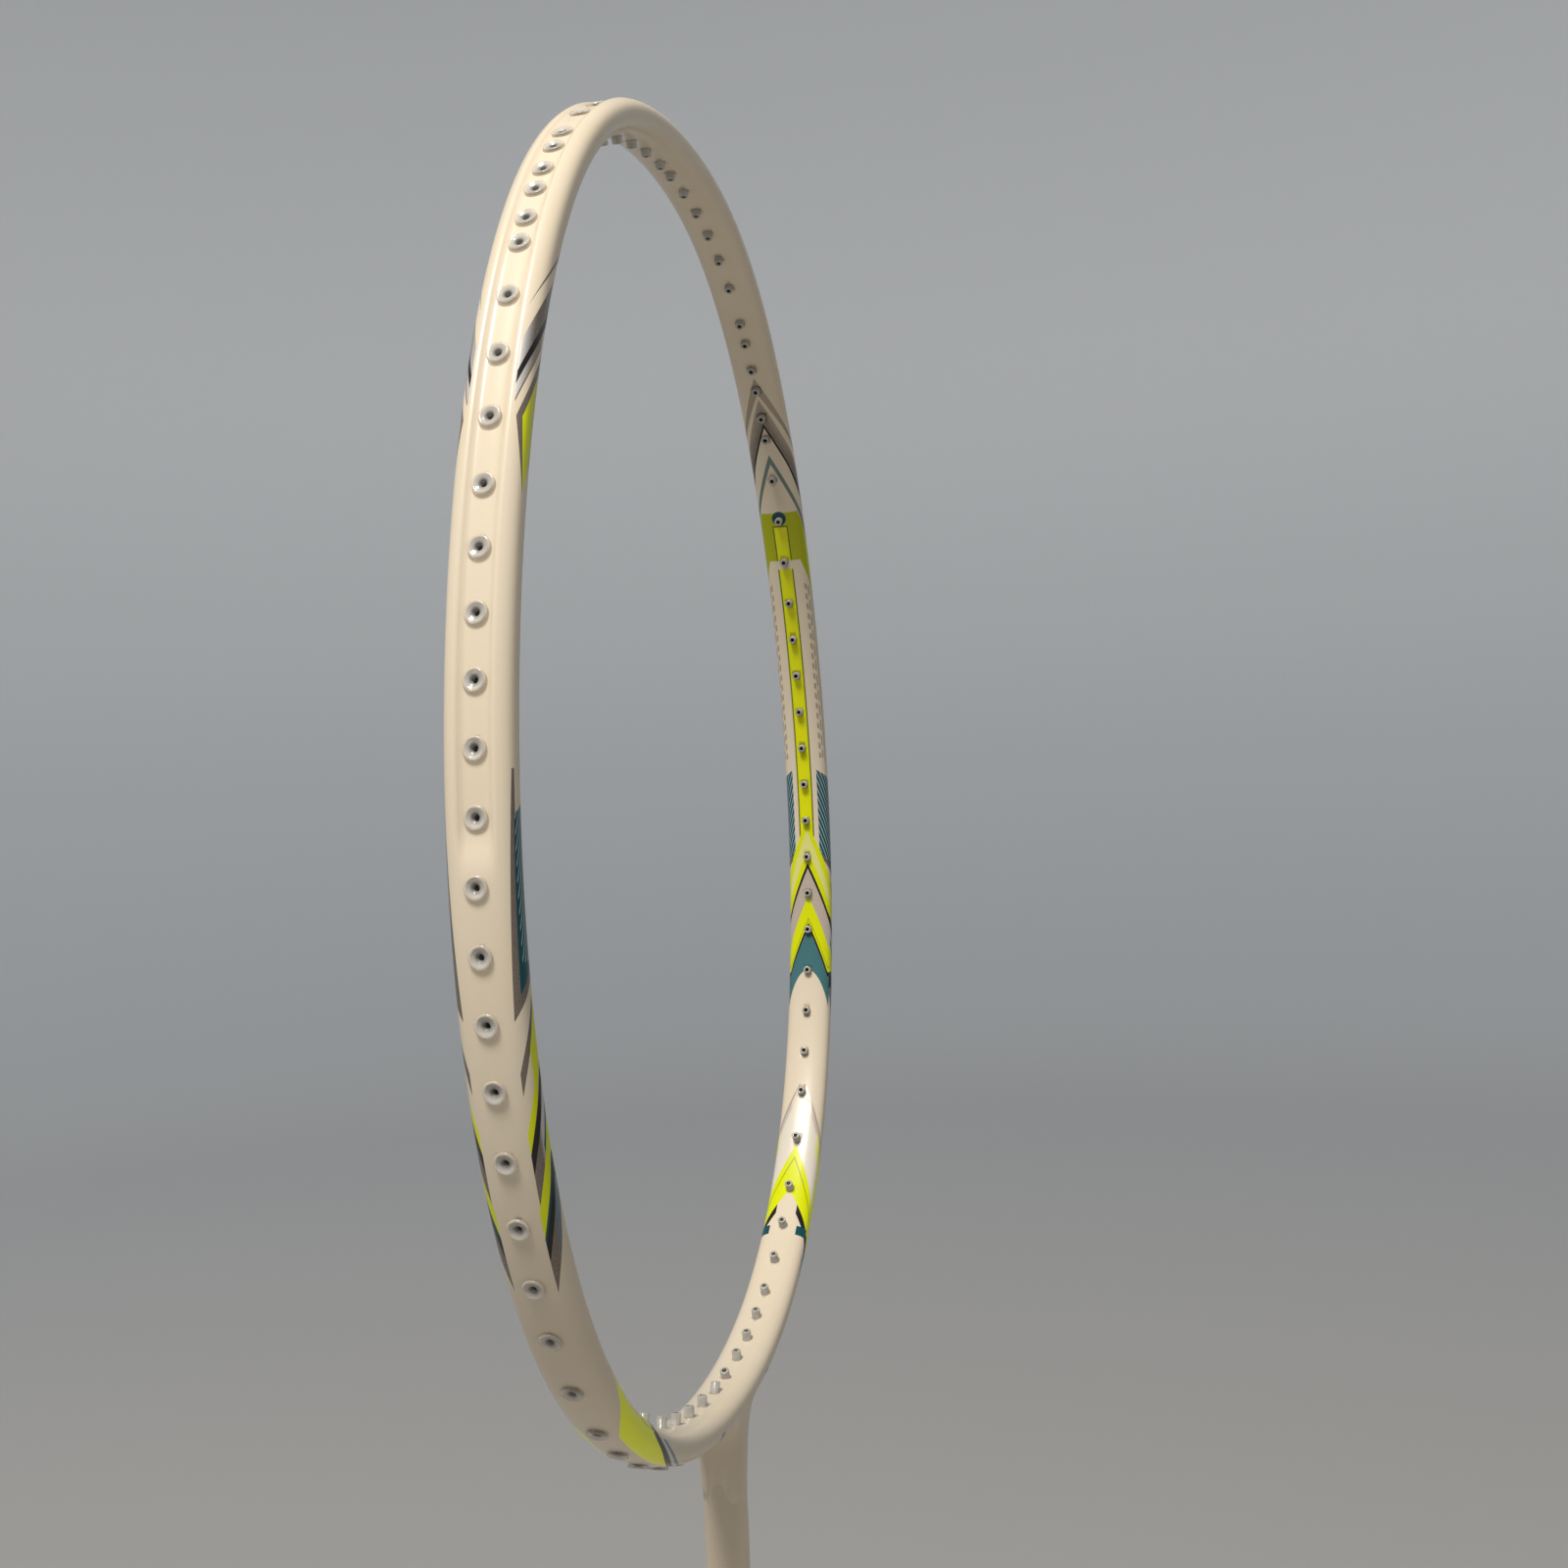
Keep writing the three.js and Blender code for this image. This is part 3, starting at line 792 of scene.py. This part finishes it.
def shaft_artwork(f, art):
    """Pointed chevrons near the head, and a matching group above the cone."""
    w, s = f.chart()
    for start, way in SHAFT_GROUPS:
        onward = f.times(f.minus(s, start), way)
        rake = f.minus(onward, f.times(w, SHAFT_RAKE))
        art.lay(TAUPE, f.band(rake, -8.0, -6.5), 0.4)
        art.lay(INK, f.band(rake, -5.6, -3.2))
        art.lay(TEAL, f.band(rake, -2.6, 3.5))
        art.lay(LIME, f.band(rake, 4.4, 8.6))
        art.lay(SILVER, f.band(rake, 9.4, 10.6), 0.7)
    art.lay(TAUPE, f.band(s, 219.0, 220.2), 0.4)
    art.lay(LIME, f.band(s, 221.0, 223.4))


def shaft():
    top = THROAT_BOTTOM + SHAFT_INSIDE
    flare = SHAFT_HIGH.z - SHAFT_FLARE
    heights = spaced(SHAFT_LOW.z, flare, 60) + spaced(flare, top, 56)[1:]
    last = len(heights) - 1

    def place(u, v):
        height = heights[round(u * last)]
        radius = shaft_radius(height)
        turn = v * 2 * math.pi
        return Vector((radius * math.sin(turn), -radius * math.cos(turn), height))

    def chart(u, v):
        turn = min(v, 1 - v) * 4  # 0 at the front, 2 at the back
        beside = 1 - abs(turn - 1)  # 0 at the front and the back, 1 at the sides
        height = heights[round(u * last)]
        return beside * math.pi / 2 * shaft_radius(height) / MM, height / MM

    bm = wrapped_grid(last, SHAFT_SIDES, place, chart)
    close_ends(bm)
    paint = lacquer("pearl_lacquer_shaft", shaft_artwork)
    piece = piece_from(bm, "painted_shaft", paint)
    sharpen(piece)
    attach(piece, "root")
    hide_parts("shaft")


# ---- the handle ----
HANDLE_HALF_WIDTH = 12.6 * MM
HANDLE_DEPTH_RATIO = 22.4 / 25.2
BUTT_HALF_WIDTH = 14.6 * MM
BUTT_FLARE = (15 * MM, 38 * MM)  # the heights between which the handle flares to the butt
OCTAGON_STEP = math.pi / 4
ROUND_REACH = 1.035  # the circle that the octagon's corners are rounded towards
HANDLE_ROUNDING = 0.45
GRIP_THICKNESS = 1.9 * MM
GRIP_SINK = 0.55 * MM  # how far the tape's lower layer lies under its outer face
GRIP_PITCH = 21 * MM
GRIP_STEP = 0.75 * MM
GRIP_VALLEY = 0.45 * MM
GRIP_ROWS = 420
HANDLE_SIDES = 96
LATHE_SIDES = 64
GRIP_WHITE = (0.80, 0.78, 0.73, 1)
GRIP_SOILED = (0.70, 0.67, 0.61, 1)
GRIP_HOLE_PAINTED_SHADE = (0.16, 0.15, 0.14, 1)
GRIP_PRESSED_PAINTED_SHADE = (0.45, 0.43, 0.40, 1)
TAPE_GREY = (0.27, 0.25, 0.23, 1)
TAPE_CREASE = (0.20, 0.19, 0.17, 1)
WHITE_CAP = (0.80, 0.78, 0.73, 1)
WHITE_CONE = (0.82, 0.80, 0.75, 1)
GREY_MEDALLION = (0.30, 0.29, 0.27, 1)
WOOD = (0.62, 0.44, 0.26, 1)
WOOD_RING = (0.45, 0.29, 0.15, 1)
CARBON = (0.02, 0.02, 0.022, 1)
CARBON_WEAVE = (0.06, 0.06, 0.065, 1)


def octagon(share, half_width, half_depth, rounding):
    """A point on an eight-sided outline with rounded corners, its flats facing X and Y."""
    turn = share * 2 * math.pi
    local = (turn + OCTAGON_STEP / 2) % OCTAGON_STEP - OCTAGON_STEP / 2
    reach = (1 - rounding) / math.cos(local) + rounding * ROUND_REACH
    return Vector((half_width * reach * math.cos(turn), half_depth * reach * math.sin(turn)))


def handle_half_width(height):
    """Half the width of the bare handle at a height: straight, then flared to the butt."""
    return BUTT_HALF_WIDTH + (HANDLE_HALF_WIDTH - BUTT_HALF_WIDTH) * smooth(height, *BUTT_FLARE)


def round_the_handle(share, height, padding):
    """A point on the handle's rounded outline, out by a padding."""
    bare = handle_half_width(height)
    at = octagon(share, bare + padding, bare * HANDLE_DEPTH_RATIO + padding, HANDLE_ROUNDING)
    return Vector((at.x, at.y, height))


def grip_relief(height, share):
    """The height of the wound tape's step and its rounded edge above the layer below."""
    phase = (height / GRIP_PITCH + share) % 1.0
    step = smooth(phase, 0.0, 0.035) * (1 - smooth(phase, 0.12, 0.30))
    valley = math.exp(-(phase / 0.03) ** 2) + math.exp(-((phase - 1.0) / 0.03) ** 2)
    return GRIP_STEP * step - GRIP_VALLEY * valley


def grip_leather():
    """Grained white polyurethane tape with rows of punched holes and a pressed line by each edge, the
    holes and the lines darkened with painted shade.
    """
    f = Finish("white_grip_tape", Specular_IOR_Level=0.35)
    round_handle, up = f.chart()
    phase = f.math("FRACT", f.plus(f.math("DIVIDE", up, GRIP_PITCH / MM), round_handle))
    grain = f.node("TexVoronoi", feature="DISTANCE_TO_EDGE")
    f.feed(grain.inputs["Vector"], f.object_place())
    grain.inputs["Scale"].default_value = 1500.0
    fine = f.noise(2600.0, detail=3.0)

    rows = f.times(phase, 6.0)
    row = f.math("PINGPONG", rows, 0.5)
    stagger = f.times(f.math("FLOOR", rows), 0.5)
    along = f.math("PINGPONG", f.plus(f.times(round_handle, 26.0), stagger), 0.5)
    across_hole = f.math("POWER", f.times(f.minus(0.5, row), 3.5), 2.0)
    along_hole = f.math("POWER", f.times(f.minus(0.5, along), 3.2), 2.0)
    hole = f.minus(1.0, f.ramp(f.plus(across_hole, along_hole), 0.16, 0.30))
    punched = f.times(hole, f.band(phase, 0.17, 0.86))
    pressed = f.any(f.band(phase, 0.075, 0.095), f.band(phase, 0.93, 0.95))

    soil = f.noise(55.0, detail=5.0)
    white = f.mix(f.ramp(soil, 0.42, 0.72), GRIP_WHITE, GRIP_SOILED)
    # painted shade: the punched holes are darkened
    colour = f.mix(punched, white, GRIP_HOLE_PAINTED_SHADE)
    # painted shade: the pressed lines are darkened
    f.wear("Base Color", f.mix(f.times(pressed, 0.45), colour, GRIP_PRESSED_PAINTED_SHADE))
    f.wear("Roughness", f.blend(fine, 0.52, 0.72))
    pores = f.times(f.ramp(grain.outputs["Distance"], 0.0, 0.12), 0.35)
    relief = f.plus(pores, f.times(fine, 0.25))
    relief = f.minus(relief, f.times(f.any(punched, pressed), 1.6))
    f.wear("Normal", f.bump(relief, 0.00012, 0.8))
    return f.material


def grip():
    bottom, top = CAP_HIGH.z, GRIP_HIGH.z

    def place(u, v):
        height = bottom + (top - bottom) * u
        return round_the_handle(v, height, GRIP_THICKNESS - GRIP_SINK + grip_relief(height, v))

    def chart(u, v):
        return v, (bottom + (top - bottom) * u) / MM

    bm = wrapped_grid(GRIP_ROWS, HANDLE_SIDES, place, chart)
    close_ends(bm)
    piece = piece_from(bm, "wound_grip", grip_leather())
    sharpen(piece, 60)
    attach(piece, "root")
    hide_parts("grip_wrap")


def moulded_plastic(name, colour, roughness=0.36):
    f = Finish(name, Coat_Weight=0.15, Coat_Roughness=0.25)
    cloud = f.noise(60.0, detail=4.0)
    darker = tuple(channel * 0.9 for channel in colour[:3]) + (1,)
    f.wear("Base Color", f.mix(f.ramp(cloud, 0.35, 0.75), colour, darker))
    f.wear("Roughness", f.blend(cloud, roughness - 0.05, roughness + 0.1))
    f.wear("Normal", f.bump(f.noise(2200.0, detail=2.0), 0.00003, 0.4))
    return f.material


def quarter_round(centre_radius, centre_height, radius, steps):
    """(radius, height) points of a quarter circle that climbs from below its centre to beside it."""
    points = []
    for share in spaced(0, 1, steps)[1:]:
        turn = share * math.pi / 2
        points.append((centre_radius + radius * math.sin(turn), centre_height - radius * math.cos(turn)))
    return points


def butt_cap():
    """A cap moulded to the handle's eight sides, rounded below and drawn in where the grip begins."""
    half_width = (CAP_HIGH.x - CAP_LOW.x) / 2
    half_depth = (CAP_HIGH.y - CAP_LOW.y) / 2
    height = CAP_HIGH.z
    edge = 2.2 * MM
    flat = half_width - edge
    levels = [(0.0, 0.0)]
    levels += [(flat * share, 0.0) for share in (0.58, 0.6, 0.85, 1.0)]
    levels += quarter_round(flat, edge, edge, 8)
    levels += [(half_width, share * height) for share in (0.4, 0.6)]
    levels += [(half_width, height - 1.1 * MM), (half_width - 0.3 * MM, height - 0.4 * MM)]
    levels += [(half_width - 1.2 * MM, height), (half_width * 0.5, height), (0.0, height)]
    last = len(levels) - 1

    def place(u, v):
        reach, up = levels[round(u * last)]
        at = octagon(v, reach, reach * half_depth / half_width, 0.5)
        return Vector((at.x, at.y, up))

    bm = wrapped_grid(last, HANDLE_SIDES, place, lambda u, v: (v, u))
    bmesh.ops.recalc_face_normals(bm, faces=bm.faces)
    plastic = moulded_plastic("white_cap_plastic", WHITE_CAP)
    piece = piece_from(bm, "moulded_butt_cap", plastic)
    sharpen(piece, 40)
    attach(piece, "root")
    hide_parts("butt_cap")


def cone():
    """A collar with a ring groove, then a curve drawn in to the shaft, bored right through."""
    bottom, top = CONE_LOW.z, CONE_HIGH.z
    base = (CONE_HIGH.x - CONE_LOW.x) / 2
    tip = 5.2 * MM
    edge = 0.9 * MM
    bore = SHAFT_RADIUS + 0.1 * MM
    shoulder = bottom + 9 * MM
    ring = base - 0.35 * MM
    lip = 0.35 * MM
    profile = [(bore, bottom), (base - edge, bottom)]
    profile += quarter_round(base - edge, bottom + edge, edge, 6)
    profile += [(base, bottom + 3.2 * MM), (ring, bottom + 3.5 * MM)]
    profile += [(ring, bottom + 3.9 * MM), (base, bottom + 4.2 * MM)]
    profile += [(base, shoulder - 1.6 * MM), (base - 0.3 * MM, shoulder - 0.9 * MM)]
    profile += [(base - edge, shoulder - 0.3 * MM)]
    for share in spaced(0, 1, 22)[1:]:
        radius = tip + (base - 1.0 * MM - tip) * (1 - share) ** 1.6
        profile.append((radius, shoulder + (top - lip - shoulder) * share))
    profile += [(tip - lip, top), (bore, top - 0.1 * MM)]
    bm = lathe(profile, LATHE_SIDES, closed=True)
    plastic = moulded_plastic("white_cone_plastic", WHITE_CONE, 0.3)
    piece = piece_from(bm, "tapered_cone", plastic)
    sharpen(piece, 30)
    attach(piece, "root")
    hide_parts("cone_cap")


def medallion():
    """A plain disc with two shallow rings pressed into its face."""
    radius = (MEDALLION_HIGH.x - MEDALLION_LOW.x) / 2
    thick = MEDALLION_HIGH.z
    rim = 0.5 * MM
    press = 0.18 * MM
    profile = [(0, 0)]
    for inner in (0.30, 0.74):
        ring = ((inner, 0), (inner + 0.02, press), (inner + 0.10, press), (inner + 0.12, 0))
        profile += [(radius * share, height) for share, height in ring]
    profile += [(radius - rim, 0), (radius - 0.15 * MM, 0.15 * MM), (radius, rim)]
    profile += [(radius, thick), (0, thick)]
    bm = lathe(profile, LATHE_SIDES)
    plastic = moulded_plastic("grey_medallion_plastic", GREY_MEDALLION, 0.3)
    piece = piece_from(bm, "ringed_medallion", plastic)
    sharpen(piece, 30)
    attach(piece, "root")
    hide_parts("butt_medallion")


def tape_finish():
    f = Finish("finishing_tape_film", Roughness=0.4)
    place = f.object_place()
    weave = f.node("TexWave", wave_type="BANDS", bands_direction="Z")
    f.feed(weave.inputs["Vector"], place)
    weave.inputs["Scale"].default_value = 500.0
    weave.inputs["Distortion"].default_value = 1.2
    crease = f.noise(180.0, detail=5.0)
    f.wear("Base Color", f.mix(f.ramp(crease, 0.4, 0.75), TAPE_GREY, TAPE_CREASE))
    f.wear("Roughness", f.blend(crease, 0.32, 0.55))
    height = f.plus(f.times(weave.outputs["Fac"], 0.4), crease)
    f.wear("Normal", f.bump(height, 0.00006, 0.6))
    return f.material


def finishing_tape():
    """A band of tape round the end of the grip, with its free end lapped over."""
    low, high = TAPE_LOW.z, TAPE_HIGH.z
    thinnest, fuller, lap = 0.3 * MM, 1.9 * MM, 0.3 * MM

    def place(u, v):
        drawn_in = 1 - smooth(u, 0.62, 1.0)
        lapped = lap * smooth(v, 0.0, 0.01) * (1 - smooth(v, 0.14, 0.16))
        return round_the_handle(v, low + (high - low) * u, thinnest + fuller * drawn_in + lapped)

    bm = wrapped_grid(24, 2 * HANDLE_SIDES, place, lambda u, v: (v, u))
    close_ends(bm)
    piece = piece_from(bm, "end_tape", tape_finish())
    sharpen(piece, 60)
    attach(piece, "root")
    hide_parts("finishing_tape")


def hidden_parts():
    """Finishes for the CAD nodes that stay: the wooden handle and the carbon plug."""
    f = Finish("turned_wood", Roughness=0.6)
    place = f.node("Mapping")
    f.feed(place.inputs["Vector"], f.object_place())
    place.inputs["Scale"].default_value = (1.0, 1.0, 0.06)
    rings = f.noise(420.0, detail=6.0, place=place.outputs[0])
    f.wear("Base Color", f.mix(f.ramp(rings, 0.3, 0.7), WOOD, WOOD_RING))
    f.wear("Normal", f.bump(rings, 0.00008, 0.5))
    g = Finish("moulded_carbon", Roughness=0.35, Coat_Weight=0.3)
    weave = g.node("TexChecker")
    g.feed(weave.inputs["Vector"], g.object_place())
    weave.inputs["Scale"].default_value = 900.0
    g.wear("Base Color", g.mix(weave.outputs["Fac"], CARBON, CARBON_WEAVE))
    g.wear("Normal", g.bump(weave.outputs["Fac"], 0.00005, 0.4))
    for node, material in (("handle_core", f.material), ("throat_spigot", g.material)):
        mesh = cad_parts[node].data
        mesh.materials.clear()
        mesh.materials.append(material)


# ---- the studio ----
FLOOR_RADIUS = 2.2
SWEEP = 1.1  # the radius of the curve from the floor to the wall
WALL_TOP = 2.6
FLOOR_NEAR_PAINTED_SHADE = (0.385, 0.37, 0.35, 1)
FLOOR_FAR = (0.56, 0.58, 0.60, 1)
WALL = (0.80, 0.82, 0.84, 1)
KEY_POWER = 62
FILL_POWER = 0.25
SKY_STRENGTH = 0.20
SKY = (0.95, 0.97, 1.0, 1)


def seamless_bowl():
    """A pale floor that curves up into a wall all round, painted darker towards the middle and paler up
    the wall to even out the light.
    """
    profile = [(0, 0), (FLOOR_RADIUS / 2, 0), (FLOOR_RADIUS, 0)]
    profile += quarter_round(FLOOR_RADIUS, SWEEP, SWEEP, 12)
    profile.append((FLOOR_RADIUS + SWEEP, WALL_TOP))
    bm = bmesh.new()
    verts = [bm.verts.new((radius, 0, height)) for radius, height in profile]
    edges = [bm.edges.new(pair) for pair in zip(verts, verts[1:])]
    bmesh.ops.spin(
        bm, geom=verts + edges, cent=(0, 0, 0), axis=(0, 0, 1), dvec=(0, 0, 0),
        angle=2 * math.pi, steps=96, use_merge=True, use_duplicate=False,
    )
    bmesh.ops.remove_doubles(bm, verts=bm.verts, dist=1e-6)
    f = Finish("pale_backdrop_paper", Roughness=0.9, Specular_IOR_Level=0.2)
    split = f.node("SeparateXYZ")
    f.feed(split.inputs[0], f.object_place())
    x, y, z = split.outputs
    from_middle = f.math("SQRT", f.plus(f.times(x, x), f.times(y, y)))
    # painted shade and light: the floor darkens towards the middle, where the key's pool falls and bounces
    # onto the racket, and the wall is paler, where less light reaches
    ground = f.mix(f.ramp(from_middle, 0.3, 3.1), FLOOR_NEAR_PAINTED_SHADE, FLOOR_FAR)
    f.wear("Base Color", f.mix(f.ramp(z, 0.0, 1.5), ground, WALL))
    backdrop = piece_from(bm, "backdrop", f.material)


def studio():
    """The pale bowl under an even sky, a soft key above and a weak warm fill from low down."""
    seamless_bowl()
    world = bpy.data.worlds.new("studio_air")
    world.use_nodes = True
    air = world.node_tree.nodes["Background"]
    air.inputs["Color"].default_value = SKY
    air.inputs["Strength"].default_value = SKY_STRENGTH
    bpy.context.scene.world = world
    soft_box("key", (-1.0, 0.14, 2.3), (0, 0, 0.52), 0.7, KEY_POWER, (1.0, 0.985, 0.96))
    soft_box("low_warm", (-0.9, -0.9, 0.15), (0, 0, 0.45), 0.9, FILL_POWER, (1.0, 0.66, 0.4))


def soft_box(name, place, target, size, power, colour):
    light = bpy.data.lights.new(name, "AREA")
    light.shape = "DISK"
    light.size = size
    light.energy = power
    light.color = colour
    lamp = bpy.data.objects.new(name, light)
    lamp.location = place
    lamp.rotation_euler = (Vector(target) - Vector(place)).to_track_quat("-Z", "Y").to_euler()
    lamp.visible_camera = False
    bpy.context.scene.collection.objects.link(lamp)


EYE_PLACE = (-0.30874, -0.09610, 0.54930)
EYE_FORWARD = Vector((0.9699, 0.2431, -0.0138)).normalized()
EYE_RIGHT = Vector((0.2423, -0.9692, -0.0445))
EYE_LENS = 37.07
EYE_SENSOR = 36


def camera():
    """The eye beside the head on the -X side, a little to the front, looking along the string plane."""
    data = bpy.data.cameras.new("eye")
    data.lens = EYE_LENS
    data.sensor_width = EYE_SENSOR
    data.clip_start = 0.01
    data.clip_end = 50
    eye = bpy.data.objects.new("eye", data)
    eye.location = EYE_PLACE
    right = (EYE_RIGHT - EYE_FORWARD * EYE_RIGHT.dot(EYE_FORWARD)).normalized()
    up = right.cross(EYE_FORWARD)
    eye.rotation_mode = "QUATERNION"
    eye.rotation_quaternion = Matrix((right, up, -EYE_FORWARD)).transposed().to_quaternion()
    bpy.context.scene.collection.objects.link(eye)
    bpy.context.scene.camera = eye


camera()
head()
grommets()
shaft()
grip()
finishing_tape()
cone()
butt_cap()
medallion()
hidden_parts()
studio()

scene = bpy.context.scene
scene.view_settings.view_transform = "Standard"
scene.view_settings.look = "None"
